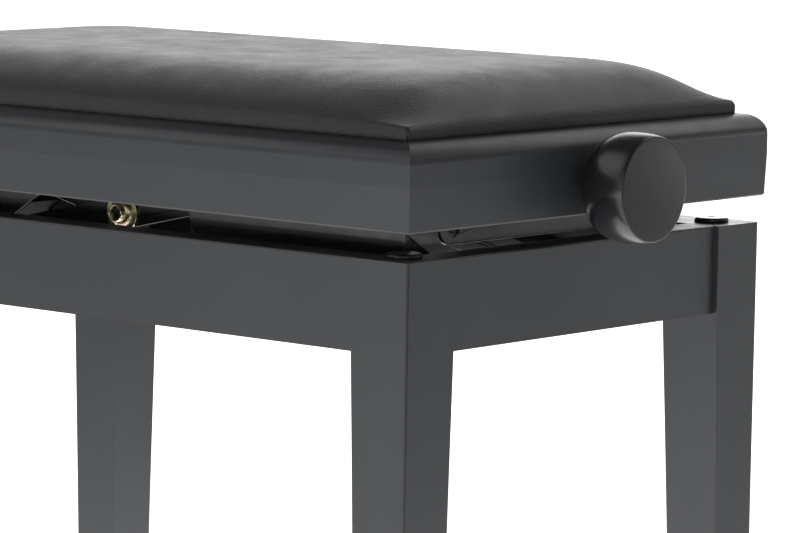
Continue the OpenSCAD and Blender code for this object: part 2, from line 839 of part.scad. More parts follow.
module knob(s) {
    x0 = seat_l / 2 + knob_gap;
    color("#1f2022") side_x(-s) difference() {
        translate([x0, 0, spindle_z]) rotate([0, 90, 0]) rotate_extrude($fn = 96) polygon(knob_outline());
        rod_x(0, spindle_z, spindle_d + 2 * pin_clear, x0 - 1, spindle_end + 1);
        translate([x0 + grub_x, 0, spindle_z]) cylinder(d = grub_d + 2 * pin_clear, h = knob_d);
    }
}

module knob_grub_screws() {
    x0 = seat_l / 2 + knob_gap;
    z0 = spindle_z + spindle_d / 2 + 0.1;
    color("#8f8f8b") for (s = [-1, 1]) side_x(s) translate([x0 + grub_x, 0, z0]) difference() {
        cylinder(d = grub_d, h = grub_l);
        translate([0, 0, grub_l - 2.5]) cylinder(d = 2.8, h = 3, $fn = 6);
    }
}

module drive_nut() {
    low = spindle_z - spindle_d / 2 - nut_wall;
    high = high_z + rod_d / 2 + nut_wall - 2;
    color("#8f8f8b") difference() {
        translate([pivot_x - nut_x / 2, -nut_y / 2, low]) cube([nut_x, nut_y, high - low]);
        rod_x(0, spindle_z, spindle_d + 0.16, pivot_x - nut_x, pivot_x + nut_x);
        rod_y(pivot_x, high_z, rod_d + 2 * pin_clear, -nut_y, nut_y);
    }
}

module cross_rod() {
    color("#9a9a96") rod_y(pivot_x, high_z, rod_d, -rod_half, rod_half);
}

module cross_rod_washers() {
    y0 = -drive_y - layer_gap / 2 - washer_t;
    color("#c8b25a") for (s = [-1, 1]) side_y(s)
        washer_y(pivot_x, high_z, rod_d + 10, rod_d + 2 * pin_clear, y0);
}

module cross_rod_clips() {
    y0 = -drive_y - layer_gap / 2 - washer_t - 0.1;
    color("#8f8f8b") for (s = [-1, 1]) side_y(s) difference() {
        rod_y(pivot_x, high_z, rod_d + 5, y0 - clip_t, y0);
        rod_y(pivot_x, high_z, rod_d + 2 * pin_clear, y0 - clip_t - 1, y0 + 1);
        translate([pivot_x - 2, y0 - clip_t - 1, high_z]) cube([4, clip_t + 2, rod_d]);
    }
}

// ---------- nodes ----------

leg(-1, -1);  // leg_front_left
leg(1, -1);  // leg_front_right
leg(-1, 1);  // leg_back_left
leg(1, 1);  // leg_back_right
apron(0);  // apron_front
apron(1);  // apron_right
apron(2);  // apron_back
apron(3);  // apron_left
glue_blocks();
end_cleat(-1);  // end_cleat_left
end_cleat(1);  // end_cleat_right
cleat_screws();
foot_glides();
leg_bumpers();
lower_rail(-1);  // lower_rail_front
lower_rail(1);  // lower_rail_back
lower_cross_bar(-1);  // lower_cross_bar_left
lower_cross_bar(1);  // lower_cross_bar_right
lower_rail_screws();
lower_pivot_pins();
seat_rail(0);  // seat_rail_front
seat_rail(1);  // seat_rail_right
seat_rail(2);  // seat_rail_back
seat_rail(3);  // seat_rail_left
seat_corner_blocks();
seat_board();
foam_core();
cushion_cover();
upper_rail(-1);  // upper_rail_front
upper_rail(1);  // upper_rail_back
spindle_plate(-1);  // spindle_plate_left
spindle_plate(1);  // spindle_plate_right
spindle_bushes();
board_screws();
upper_pivot_pins();
spindle();
spindle_collars();
knob(-1);  // knob_left
knob(1);  // knob_right
knob_grub_screws();
drive_nut();
cross_rod();
cross_rod_washers();
cross_rod_clips();
drive_arm(-1);  // drive_arm_front
drive_arm(1);  // drive_arm_back
drive_arm_tie_tube();
middle_bolts();
middle_washers();
middle_nuts();
slide_arm(-1);  // slide_arm_front
slide_arm(1);  // slide_arm_back
slide_arm_tie_tube();
slide_pins();
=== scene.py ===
"""Looks of the height-adjustable piano bench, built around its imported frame.

Metres, in the frame's own axes: X along the bench, -Y towards the front, Z up from the floor.
"""
import json
import math
import random

import bmesh
import bpy
import numpy as np
from mathutils import Matrix, Vector


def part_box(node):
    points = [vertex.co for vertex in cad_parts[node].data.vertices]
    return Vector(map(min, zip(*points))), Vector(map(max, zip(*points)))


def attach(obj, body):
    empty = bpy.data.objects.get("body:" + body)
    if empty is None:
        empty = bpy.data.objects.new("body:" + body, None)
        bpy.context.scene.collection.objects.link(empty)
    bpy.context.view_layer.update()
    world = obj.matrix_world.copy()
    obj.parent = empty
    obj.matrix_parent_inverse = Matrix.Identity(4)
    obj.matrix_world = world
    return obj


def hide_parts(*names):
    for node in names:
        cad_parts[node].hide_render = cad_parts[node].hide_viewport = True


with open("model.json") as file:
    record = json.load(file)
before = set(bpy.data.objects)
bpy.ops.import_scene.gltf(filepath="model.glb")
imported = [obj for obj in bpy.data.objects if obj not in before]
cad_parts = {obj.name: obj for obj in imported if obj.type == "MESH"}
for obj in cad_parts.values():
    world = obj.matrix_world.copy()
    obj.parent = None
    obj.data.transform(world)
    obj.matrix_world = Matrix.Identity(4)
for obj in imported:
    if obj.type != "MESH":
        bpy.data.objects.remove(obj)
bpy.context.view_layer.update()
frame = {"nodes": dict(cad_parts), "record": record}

MM = 0.001


# Soft lights round the room, as (degrees from +X, degrees up, strength): a white backdrop low behind on
# the left, softer ones high on the left and behind, and one near the camera
ROOM_LIGHTS = ((135, 8, 3.0), (225, 38, 1.2), (270, 8, 0.6), (45, 38, 0.45), (85, 40, 1.25), (318, 4, 0.9))
ROOM_GLOW = 0.1
# Painted pools of light on the floor, which glow by emission, as (degrees from +X, metres from the bench,
# metres across, strength)
PAINTED_LIGHT_POOLS = ((135, 0.3, 3.4, 0.6), (0, 0.0, 1.0, 1.6), (270, 3.2, 3.0, 2.5), (315, 3.0, 3.0, 0.35))
# Towards the backdrop, and the metres out that way where the floor starts to glow and is white
BACKDROP = (-0.646, 0.763, 0.0)
BACKDROP_FROM, BACKDROP_FULL = 0.7, 1.6
# Degrees from the middle of a room light where it starts to fade, and where it is gone
LIGHT_FULL = 6
LIGHT_GONE = 32


# ---------- materials ----------

class Finish:
    """One material: a Principled shader and the procedural nodes that feed it."""

    def __init__(self, name, **sockets):
        self.material = bpy.data.materials.new(name)
        self.material.use_nodes = True
        self.tree = self.material.node_tree
        self.shader = self.tree.nodes["Principled BSDF"]
        self.coords = self.tree.nodes.new("ShaderNodeTexCoord").outputs["Object"]
        for socket, value in sockets.items():
            self.shader.inputs[socket.replace("_", " ")].default_value = value

    def node(self, kind, links=(), **settings):
        """A node of a kind, with settings on it or on its sockets, and links into its sockets."""
        made = self.tree.nodes.new("ShaderNode" + kind)
        for key, value in settings.items():
            if hasattr(made, key):
                setattr(made, key, value)
            else:
                made.inputs[key.replace("_", " ")].default_value = value
        for socket, source in dict(links).items():
            self.tree.links.new(source, made.inputs[socket])
        return made

    def stretched(self, x, y, z):
        """Object coordinates, squeezed by a factor along each axis."""
        return self.node("Mapping", {"Vector": self.coords}, Scale=(x, y, z)).outputs["Vector"]

    def noise(self, scale, detail=2.0, roughness=0.5, vector=None, distortion=0.0):
        made = self.node("TexNoise", {"Vector": vector or self.coords}, Scale=scale, Detail=detail,
                         Roughness=roughness, Distortion=distortion)
        return made.outputs["Fac"]

    def cells(self, scale, feature="F1", vector=None, randomness=1.0):
        made = self.node("TexVoronoi", {"Vector": vector or self.coords}, feature=feature, Scale=scale,
                         Randomness=randomness)
        return made.outputs["Distance"]

    def ramp(self, factor, *stops):
        """A colour ramp with (place, colour) stops. A plain number is a grey."""
        made = self.node("ValToRGB", {"Fac": factor})
        points = made.color_ramp.elements
        for place, _ in stops[2:]:
            points.new(place)
        for point, (place, colour) in zip(points, sorted(stops, key=lambda s: s[0])):
            point.position = place
            point.color = (colour,) * 3 + (1,) if isinstance(colour, (int, float)) else (*colour, 1)
        return made.outputs["Color"]

    def spread(self, factor, low, high):
        """A value that runs from low to high as a factor runs over the middle of its range."""
        made = self.node("MapRange", {"Value": factor}, From_Min=0.3, From_Max=0.7, To_Min=low, To_Max=high)
        return made.outputs["Result"]

    def math(self, operation, a, b):
        made = self.node("Math", operation=operation)
        for socket, value in zip(made.inputs, (a, b)):
            if isinstance(value, (int, float)):
                socket.default_value = value
            else:
                self.tree.links.new(value, socket)
        return made.outputs["Value"]

    def colour(self, source):
        self.tree.links.new(source, self.shader.inputs["Base Color"])

    def roughness(self, source):
        self.tree.links.new(source, self.shader.inputs["Roughness"])

    def bump(self, *layers):
        """Bump layers of (height, distance in metres, strength), each on top of the last."""
        normal = None
        for height, distance, strength in layers:
            made = self.node("Bump", {"Height": height}, Distance=distance, Strength=strength)
            if normal:
                self.tree.links.new(normal, made.inputs["Normal"])
            normal = made.outputs["Normal"]
        self.tree.links.new(normal, self.shader.inputs["Normal"])


def black_wood():
    """Satin black lacquer over fine-grained hardwood: a faint orange peel and fainter pores."""
    f = Finish("black_wood", Specular_IOR_Level=0.5)
    cloud = f.noise(14, 3)
    f.colour(f.ramp(cloud, (0.3, (0.0225, 0.0247, 0.0275)), (0.7, (0.0265, 0.0289, 0.032))))
    f.roughness(f.spread(f.noise(60, 4, 0.6), 0.33, 0.42))
    f.bump((f.noise(650, 2), 0.00004, 0.35), (f.noise(2600, 1), 0.00001, 0.3))
    return f.material


def leatherette():
    """Black leatherette: small pebbled grain with fine creases between the pebbles, and painted shade
    darkening the creases.
    """
    f = Finish("leatherette", Specular_IOR_Level=0.5, Sheen_Weight=0.06, Sheen_Roughness=0.4)
    wander = f.node("VectorMath", {0: f.coords}, operation="ADD")
    drift = f.node("TexNoise", {"Vector": f.coords}, Scale=220, Detail=2.0)
    scaled = f.node("VectorMath", {0: drift.outputs["Color"]}, operation="SCALE", Scale=0.0009)
    f.tree.links.new(scaled.outputs["Vector"], wander.inputs[1])
    grain = f.cells(1250, "SMOOTH_F1", wander.outputs["Vector"])
    fine = f.cells(2900, "F1", wander.outputs["Vector"])
    # The colour is lighter on the pebbles' tops and darker in the creases between them. This is painted shade
    # in the creases, and a broad noise varies its depth at random.
    tone = f.math("MULTIPLY", grain, f.noise(30, 3))
    f.colour(f.ramp(tone, (0.0, (0.0205, 0.0203, 0.0204)), (0.45, (0.0105, 0.0105, 0.0108))))
    f.roughness(f.spread(f.noise(45, 4, 0.6), 0.44, 0.54))
    f.bump((f.math("MULTIPLY", grain, -1), 0.00035, 0.8), (f.math("MULTIPLY", fine, -1), 0.00008, 0.5),
           (f.noise(70, 3), 0.0003, 0.25))
    return f.material


def black_steel():
    """Gloss black paint on pressed sheet steel."""
    f = Finish("black_steel", Coat_Weight=0.6, Coat_Roughness=0.06)
    f.colour(f.ramp(f.noise(40, 3), (0.35, (0.0055, 0.0056, 0.006)), (0.65, (0.0085, 0.0086, 0.009))))
    f.roughness(f.spread(f.noise(120, 3), 0.16, 0.26))
    f.bump((f.noise(240, 3, 0.6), 0.00008, 0.35))
    return f.material


def yellow_zinc():
    """Yellow passivated zinc: pale gold that drifts to green and pink."""
    f = Finish("yellow_zinc", Metallic=1.0)
    film = f.noise(70, 2, 0.5, distortion=0.6)
    f.colour(f.ramp(film, (0.3, (0.66, 0.5, 0.47)), (0.42, (0.72, 0.6, 0.44)), (0.54, (0.7, 0.65, 0.42)),
                    (0.66, (0.55, 0.6, 0.42)), (0.78, (0.68, 0.54, 0.48))))
    f.roughness(f.spread(f.noise(420, 3), 0.22, 0.3))
    f.bump((f.noise(2600, 1), 0.000008, 0.3))
    return f.material


def bright_steel():
    """Turned steel with a thin film of oil: fine rings round the spindle's axis."""
    f = Finish("bright_steel", Metallic=1.0)
    rings = f.noise(1500, 3, 0.7, f.stretched(1, 0.02, 0.02))
    f.colour(f.ramp(f.noise(60, 4), (0.3, (0.42, 0.42, 0.41)), (0.7, (0.6, 0.6, 0.59))))
    f.roughness(f.spread(rings, 0.22, 0.42))
    f.bump((rings, 0.00003, 0.5))
    return f.material


def plywood():
    """Dark-stained plywood: long face grain, and plies that show as bands on its edges."""
    f = Finish("plywood", Specular_IOR_Level=0.3)
    face = f.noise(7, 6, 0.62, f.stretched(2, 16, 2), distortion=1.0)
    plies = f.node("TexWave", {"Vector": f.coords}, bands_direction="Z", Scale=170, Distortion=0.4,
                   Detail=2.0).outputs["Fac"]
    normal = f.node("SeparateXYZ", {"Vector": f.node("NewGeometry").outputs["Normal"]}).outputs["Z"]
    flat = f.math("GREATER_THAN", f.math("ABSOLUTE", normal, 0), 0.5)
    tone = f.node("Mix", {"Factor": flat, "A": plies, "B": face}, data_type="FLOAT").outputs["Result"]
    f.colour(f.ramp(tone, (0.25, (0.026, 0.023, 0.02)), (0.5, (0.04, 0.035, 0.031)),
                    (0.75, (0.058, 0.05, 0.043))))
    f.roughness(f.spread(face, 0.6, 0.78))
    f.bump((face, 0.00025, 0.4))
    return f.material


def black_plastic():
    """Moulded black plastic with a fine spark-eroded texture."""
    f = Finish("black_plastic")
    f.colour(f.ramp(f.noise(50, 3), (0.3, 0.011), (0.7, 0.017)))
    f.roughness(f.spread(f.noise(300, 3), 0.45, 0.6))
    f.bump((f.noise(2400, 2), 0.00004, 0.6))
    return f.material


def bumper_rubber():
    """Smooth glossy black rubber."""
    f = Finish("bumper_rubber")
    f.colour(f.ramp(f.noise(90, 3), (0.3, 0.006), (0.7, 0.0095)))
    f.roughness(f.spread(f.noise(350, 2), 0.16, 0.26))
    f.bump((f.noise(900, 2), 0.00003, 0.35))
    return f.material


def knob_black():
    """Satin black moulding with a trace of mould texture."""
    f = Finish("knob_black")
    f.colour(f.ramp(f.noise(30, 3), (0.3, (0.0095, 0.0102, 0.0112)), (0.7, (0.0125, 0.0132, 0.0144))))
    f.roughness(f.spread(f.noise(140, 3), 0.2, 0.25))
    f.bump((f.noise(1500, 2), 0.000005, 0.3))
    return f.material


def white_nylon():
    """Natural nylon: slightly translucent, faintly mottled."""
    f = Finish("white_nylon", Subsurface_Weight=0.15, Subsurface_Radius=(0.004, 0.004, 0.003))
    f.colour(f.ramp(f.noise(80, 3), (0.3, (0.74, 0.72, 0.66)), (0.7, (0.83, 0.82, 0.78))))
    f.roughness(f.spread(f.noise(300, 2), 0.38, 0.52))
    f.bump((f.noise(800, 2), 0.00004, 0.3))
    return f.material


def heading(azimuth, elevation=0.0):
    """A unit vector from angles in degrees."""
    a, e = math.radians(azimuth), math.radians(elevation)
    return math.cos(e) * math.cos(a), math.cos(e) * math.sin(a), math.sin(e)


def pale_floor():
    """A plain pale studio floor that glows by emission: soft painted pools of light, and white towards the
    backdrop.
    """
    f = Finish("pale_floor", Specular_IOR_Level=0.2)
    f.colour(f.ramp(f.noise(2, 2), (0.3, 0.86), (0.7, 0.9)))
    f.roughness(f.spread(f.noise(9, 3), 0.75, 0.85))
    behind = f.node("VectorMath", {0: f.coords}, operation="DOT_PRODUCT")
    behind.inputs[1].default_value = BACKDROP
    glow = f.node("MapRange", {"Value": behind.outputs["Value"]}, interpolation_type="SMOOTHSTEP",
                  From_Min=BACKDROP_FROM, From_Max=BACKDROP_FULL).outputs["Result"]
    # Each pool is painted light: emission on the floor, strongest at its middle and fading out across it
    for azimuth, out, across, strength in PAINTED_LIGHT_POOLS:
        away = f.node("VectorMath", {0: f.coords}, operation="DISTANCE")
        away.inputs[1].default_value = Vector(heading(azimuth)) * out
        pool = f.node("MapRange", {"Value": away.outputs["Value"]}, interpolation_type="SMOOTHSTEP",
                      From_Min=across * 0.2, From_Max=across, To_Min=strength, To_Max=0.0)
        glow = f.math("ADD", glow, pool.outputs["Result"])
    f.tree.links.new(glow, f.shader.inputs["Emission Strength"])
    f.shader.inputs["Emission Color"].default_value = (1, 1, 1, 1)
    return f.material


FINISHES = {
    "black_wood": black_wood(),
    "leatherette": leatherette(),
    "black_steel": black_steel(),
    "yellow_zinc": yellow_zinc(),
    "bright_steel": bright_steel(),
    "plywood": plywood(),
    "foam": leatherette(),
    "black_plastic": black_plastic(),
    "bumper": bumper_rubber(),
    "knob_black": knob_black(),
    "white_nylon": white_nylon(),
}


def dress(piece, slot):
    piece.data.materials.clear()
    piece.data.materials.append(FINISHES[slot])


# ---------- CAD nodes ----------

# How far the sharp edges of each material are rounded over
EDGE_RADIUS = {
    "black_wood": 0.9 * MM,
    "plywood": 0.3 * MM,
    "black_steel": 0.45 * MM,
    "yellow_zinc": 0.25 * MM,
    "bright_steel": 0.25 * MM,
    "black_plastic": 0.2 * MM,
    "bumper": 0.15 * MM,
    "knob_black": 0.3 * MM,
    "white_nylon": 0.2 * MM,
}


def soften_edges(node, radius):
    """Joins the tessellation's split corners and rounds the sharp edges over."""
    weld = node.modifiers.new("weld", "WELD")
    weld.merge_threshold = 0.002 * MM
    bevel = node.modifiers.new("round_over", "BEVEL")
    bevel.width = radius
    bevel.segments = 3
    bevel.limit_method = "ANGLE"
    bevel.angle_limit = math.radians(32)
    bevel.harden_normals = True
    bevel.use_clamp_overlap = True


def dress_cad_nodes():
    for part in frame["record"]["subparts"]:
        node = frame["nodes"][part["node"]]
        slot = part["material_slot"]
        dress(node, slot)
        if slot in EDGE_RADIUS:
            soften_edges(node, EDGE_RADIUS[slot])


# ---------- mesh helpers ----------

def new_piece(name, points, faces, slot, body):
    """A mesh piece from points and faces, with its finish, riding on a body."""
    mesh = bpy.data.meshes.new(name)
    mesh.from_pydata([tuple(p) for p in points], [], faces)
    mesh.validate()
    mesh.update()
    piece = bpy.data.objects.new(name, mesh)
    bpy.context.scene.collection.objects.link(piece)
    dress(piece, slot)
    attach(piece, body)
    mesh.shade_smooth()
    return piece


def crease(piece, degrees):
    """Keeps edges sharper than an angle sharp, and shades the rest smooth."""
    bm = bmesh.new()
    bm.from_mesh(piece.data)
    bmesh.ops.recalc_face_normals(bm, faces=bm.faces)
    for edge in bm.edges:
        edge.smooth = len(edge.link_faces) == 2 and edge.calc_face_angle() < math.radians(degrees)
    bm.to_mesh(piece.data)
    bm.free()


# ---------- cushion ----------

SEAT_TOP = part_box("seat_rail_front")[1].z
COVER_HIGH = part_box("cushion_cover")[1]
BOARD_LOW, BOARD_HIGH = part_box("seat_board")
HALF_X = COVER_HIGH.x
HALF_Y = COVER_HIGH.y
CROWN = COVER_HIGH.z - SEAT_TOP
# The crown: its height at the sides, how far in it rises, how steeply it starts, and its corner radius
SIDE = 7.5 * MM
RUN_X = 105.0 * MM
RUN_Y = 115.5 * MM
CROWN_POWER = 5
CORNER_R = 3.5 * MM
# The side: the height where it is widest, the roll above that and the tuck below it
WIDEST = 3.6 * MM
ROLL_IN = 2.6 * MM
ROLL_R = 9.9 * MM
ROLL_TURN = 42.8
TUCK_R = 18 * MM
TUCK_TURN = 12.8
# The corner darts: height, depth, and half width in degrees round the corner
DART_UP = 4.6 * MM
DART_IN = 1.1 * MM
DART_WIDE = 6
# The unevenness of the pulled sides
RIPPLE_DEEP = 0.1 * MM
RIPPLE_SEED = 7
# The mesh: spacing at its edges and in its middle, and how fast one grows into the other
FINE_STEP = 0.55 * MM
COARSE_STEP = 5 * MM
STEP_GROWTH = 1.25
# The cloth simulation: its grid, start height as a share of the crown, length, cap on its lift, and blur
CLOTH_COLUMNS, CLOTH_ROWS = 87, 52
CLOTH_START = 0.975
CLOTH_FRAMES = 20
LIFT_CAP = 4 * MM
BLUR_ROUNDS = 10


def crown_height(x, y):
    """Height over the seat rails of the cushion's top, full in the middle and falling to its sides."""
    ux = np.clip((HALF_X - np.abs(x)) / RUN_X, 0, 1)
    uy = np.clip((HALF_Y - np.abs(y)) / RUN_Y, 0, 1)
    rise = (1 - (1 - ux) ** CROWN_POWER) * (1 - (1 - uy) ** CROWN_POWER)
    return SIDE + (CROWN - SIDE) * rise


def spaced(half, fine, coarse):
    """Places from -half to half, close together near both ends and wider in the middle."""
    places = [0.0]
    step = fine
    while places[-1] < half:
        places.append(places[-1] + step)
        if places[-1] > CORNER_R * 1.2:
            step = min(coarse, step * STEP_GROWTH)
    from_edge = np.array(places) * half / places[-1]
    return np.concatenate([from_edge - half, (half - from_edge)[::-1][1:]])


def round_corner(x, y, half_x, half_y):
    """Moves a point of a rectangle on to the same rectangle with rounded corners, ring by ring."""
    inset = min(half_x - abs(x), half_y - abs(y))
    radius = min(CORNER_R + inset / 2, half_y - inset)
    cx = half_x - inset - radius
    cy = half_y - inset - radius
    dx = abs(x) - cx
    dy = abs(y) - cy
    if dx <= 0 or dy <= 0:
        return x, y
    angle = math.pi / 4 * (dy / dx if dx >= dy else 2 - dx / dy)
    return math.copysign(cx + radius * math.cos(angle), x), math.copysign(cy + radius * math.sin(angle), y)


def grid_faces(rows, columns):
    """Quads over a grid of points that runs row by row."""
    return [(r * columns + c, r * columns + c + 1, (r + 1) * columns + c + 1, (r + 1) * columns + c)
            for r in range(rows - 1) for c in range(columns - 1)]


def add_cloth(sheet):
    """Taut cloth under pressure from below, pinned by its rim group."""
    settings = sheet.modifiers.new("cloth", "CLOTH").settings
    settings.quality = 6
    settings.mass = 0.25
    settings.tension_stiffness = 25
    settings.compression_stiffness = 20
    settings.bending_stiffness = 1.5
    settings.use_pressure = True
    settings.uniform_pressure_force = 4.0
    settings.vertex_group_mass = "rim"
    settings.effector_weights.gravity = 0
    settings.shrink_min = 0.02


def simulate_crown(xs, ys):
    """Lift of the cover under the foam's pressure, as a cloth pinned round its edge, on a coarse grid."""
    grid = [(x, y) for y in ys for x in xs]
    points = [(x, y, CLOTH_START * float(crown_height(x, y))) for x, y in grid]
    mesh = bpy.data.meshes.new("cover_sim")
    mesh.from_pydata(points, [], grid_faces(len(ys), len(xs)))
    sheet = bpy.data.objects.new("cover_sim", mesh)
    scene = bpy.context.scene
    scene.collection.objects.link(sheet)
    on_rim = [i for i, (x, y) in enumerate(grid) if abs(x) > xs[-1] - 1e-6 or abs(y) > ys[-1] - 1e-6]
    sheet.vertex_groups.new(name="rim").add(on_rim, 1.0, "REPLACE")
    add_cloth(sheet)
    for step in range(1, CLOTH_FRAMES + 1):
        scene.frame_set(step)
    done = sheet.evaluated_get(bpy.context.evaluated_depsgraph_get())
    lift = np.array([v.co.z for v in done.data.vertices]) - np.array([p[2] for p in points])
    scene.frame_set(1)
    bpy.data.objects.remove(sheet)
    return smoothed(np.clip(lift, -LIFT_CAP, LIFT_CAP).reshape(len(ys), len(xs)), BLUR_ROUNDS)


def smoothed(field, rounds):
    """A grid blurred with its neighbours a few times over, its rim left as it is."""
    for _ in range(rounds):
        field[1:-1, 1:-1] = (field[1:-1, 1:-1] * 4 + field[:-2, 1:-1] + field[2:, 1:-1]
                             + field[1:-1, :-2] + field[1:-1, 2:]) / 8
    return field


def sampled(field, xs, ys, x, y):
    """A grid's value between its points."""
    i = min(max(np.searchsorted(xs, x) - 1, 0), len(xs) - 2)
    j = min(max(np.searchsorted(ys, y) - 1, 0), len(ys) - 2)
    u = (x - xs[i]) / (xs[i + 1] - xs[i])
    v = (y - ys[j]) / (ys[j + 1] - ys[j])
    low = field[j, i] * (1 - u) + field[j, i + 1] * u
    high = field[j + 1, i] * (1 - u) + field[j + 1, i + 1] * u
    return low * (1 - v) + high * v


def cover_lift():
    """The simulated lift less what it adds at the middle, its xs and its ys."""
    xs = np.linspace(-HALF_X, HALF_X, CLOTH_COLUMNS)
    ys = np.linspace(-HALF_Y, HALF_Y, CLOTH_ROWS)
    lift = simulate_crown(xs, ys)
    base = np.array([[float(crown_height(x, y)) for x in xs] for y in ys])
    lift -= lift[len(ys) // 2, len(xs) // 2] * (base - SIDE) / (CROWN - SIDE)
    return lift, xs, ys


def arc(radius, degrees):
    """How far an arc that starts upright has come in and up, once it has turned by an angle."""
    a = math.radians(degrees)
    return radius * (1 - math.cos(a)), radius * math.sin(a)


def side_section(join):
    """Insets and heights of the side, below a crown that meets it at a height: roll, tuck, board's pocket."""
    snug = 0.05 * MM
    board_side = HALF_X - BOARD_HIGH.x - snug
    board_top = BOARD_HIGH.z - SEAT_TOP
    board_low = BOARD_LOW.z - SEAT_TOP
    stretch = (join - WIDEST) / arc(ROLL_R, ROLL_TURN)[1]
    over = [(inset, WIDEST + up * stretch)
            for inset, up in (arc(ROLL_R, a) for a in np.linspace(ROLL_TURN, 0, 12)[1:])]
    under = [(inset, WIDEST - down)
             for inset, down in (arc(TUCK_R, a) for a in np.linspace(0, TUCK_TURN, 9)[1:])]
    tuck = [(0.6 * MM, board_low + 0.3 * MM), (1.0 * MM, board_low + 0.1 * MM)]
    pocket = [(board_side, board_low + 0.1 * MM), (board_side, board_top + snug)]
    return over + under + tuck + pocket


def corner_dart(x, y, height):
    """How far the folded dart pulls the cover in, at a point of its side near a corner."""
    from_corner = (abs(x) - HALF_X + CORNER_R, abs(y) - HALF_Y + CORNER_R)
    if min(from_corner) <= 0 or not 0 <= height <= DART_UP:
        return 0.0
    angle = math.degrees(math.atan2(from_corner[1], from_corner[0])) - 45
    deep = DART_IN * math.exp(-((angle / DART_WIDE) ** 2))
    return deep * min(1, (DART_UP - height) / (2 * MM))


def side_inward(x, y):
    """The direction straight in from the cushion's side, at a point of its outline."""
    cx = max(abs(x) - (HALF_X - CORNER_R), 0)
    cy = max(abs(y) - (HALF_Y - CORNER_R), 0)
    size = math.hypot(cx, cy)
    if size < 1e-9:
        return 0.0, 0.0
    return -math.copysign(cx / size, x), -math.copysign(cy / size, y)


def ripple(x, y, height, phases):
    """Slight unevenness of the pulled cover, gone at the tuck."""
    if height <= 0:
        return 0.0
    waves = (31, 57, 93, 141)
    total = sum(math.sin(2 * math.pi * (x + y) * wave / 3 + phase) / (k + 2)
                for k, (wave, phase) in enumerate(zip(waves, phases)))
    return RIPPLE_DEEP * total * max(0.0, min(1.0, height / (4 * MM)))


def outline_of(rows, columns):
    """Indices of a grid's border, once round."""
    bottom = [(0, c) for c in range(columns)]
    right = [(r, columns - 1) for r in range(1, rows)]
    top = [(rows - 1, c) for c in range(columns - 2, -1, -1)]
    left = [(r, 0) for r in range(rows - 2, 0, -1)]
    return bottom + right + top + left


def crown_points(xs, ys):
    """Points of the crown, row by row, drawn in from the sides by the roll."""
    lift, lift_x, lift_y = cover_lift()
    edge_x = HALF_X - ROLL_IN
    edge_y = HALF_Y - ROLL_IN
    points = []
    for y in ys:
        for x in xs:
            px, py = round_corner(x * edge_x / HALF_X, y * edge_y / HALF_Y, edge_x, edge_y)
            z = float(crown_height(px, py)) + sampled(lift, lift_x, lift_y, px, py)
            points.append((px, py, SEAT_TOP + z))
    return points


def wrap_sides(points, faces, ring):
    """Adds the sides below the crown's border, down to the pocket that holds the board."""
    rng = random.Random(RIPPLE_SEED)
    phases = [rng.uniform(0, 2 * math.pi) for _ in range(4)]
    sections = [side_section(points[i][2] - SEAT_TOP) for i in ring]
    count = len(ring)
    last = ring
    for level in range(len(sections[0])):
        row = []
        for i, section in zip(ring, sections):
            inset, height = section[level]
            x = points[i][0] * HALF_X / (HALF_X - ROLL_IN)
            y = points[i][1] * HALF_Y / (HALF_Y - ROLL_IN)
            inward = side_inward(x, y)
            pull = inset + corner_dart(x, y, height) + ripple(x, y, height, phases)
            row.append(len(points))
            points.append((x + inward[0] * pull, y + inward[1] * pull, SEAT_TOP + height))
        faces += [(last[k], row[k], row[(k + 1) % count], last[(k + 1) % count]) for k in range(count)]
        last = row
    faces.append(tuple(last))


def cushion():
    """The upholstered top: a crowned leatherette cover that wraps the board and tucks in at the ledge."""
    xs = spaced(HALF_X, FINE_STEP, COARSE_STEP)
    ys = spaced(HALF_Y, FINE_STEP, COARSE_STEP)
    columns, rows = len(xs), len(ys)
    points = crown_points(xs, ys)
    faces = grid_faces(rows, columns)
    wrap_sides(points, faces, [r * columns + c for r, c in outline_of(rows, columns)])
    piece = new_piece("cushion", points, faces, "leatherette", "seat")
    bm = bmesh.new()
    bm.from_mesh(piece.data)
    bmesh.ops.recalc_face_normals(bm, faces=bm.faces)
    bm.to_mesh(piece.data)
    bm.free()
    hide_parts("cushion_cover", "foam_core")


# ---------- spindle ----------

THREAD_PITCH = 3 * MM
THREAD_DEPTH = 0.9 * MM
# Where the thread's root ends and its crest starts and ends, as shares of a pitch
ROOT_END, CREST_START, CREST_END = 0.32, 0.5, 0.82
# How far left of the drive nut the thread starts, and how far short of the collars' end it stops
THREAD_LEAD = 42 * MM
THREAD_SHORT = 4 * MM
PER_TURN = 32
CHAMFER = 1 * MM
# How far the long plain end runs into the thread, and the thread's end point into the plain end
OVERLAP = 0.5 * MM


def thread(start, turns, radius, axis_z):
    """Points and faces of a trapezoidal thread, capped at both ends."""
    root = radius - THREAD_DEPTH
    section = [(0.0, root), (ROOT_END, root), (CREST_START, radius), (CREST_END, radius)]
    rows = len(section)
    end = turns * PER_TURN
    points = []
    for c in range(end + 1):
        a = 2 * math.pi * c / PER_TURN
        for along, r in section:
            x = start + THREAD_PITCH * (c / PER_TURN + along)
            points.append((x, r * math.cos(a), axis_z + r * math.sin(a)))

    def at(c, i):
        return (c + PER_TURN * (i // rows)) * rows + i % rows

    faces = [(at(c, i), at(c, i + 1), at(c + 1, i + 1), at(c + 1, i))
             for c in range(end) for i in range(rows) if i < rows - 1 or c + 1 + PER_TURN <= end]
    first = [at(c, 0) for c in range(PER_TURN + 1)] + [at(0, i) for i in range(rows - 1, 0, -1)]
    final = [at(c, rows - 1) for c in range(end - PER_TURN, end + 1)]
    final += [at(end, i) for i in range(rows - 2, -1, -1)]
    for loop, x in ((first, start - OVERLAP), (final, start + THREAD_PITCH * (turns + 1))):
        centre = len(points)
        points.append((x, 0, axis_z))
        faces += [(loop[k], loop[(k + 1) % len(loop)], centre) for k in range(len(loop))]
    return points, faces


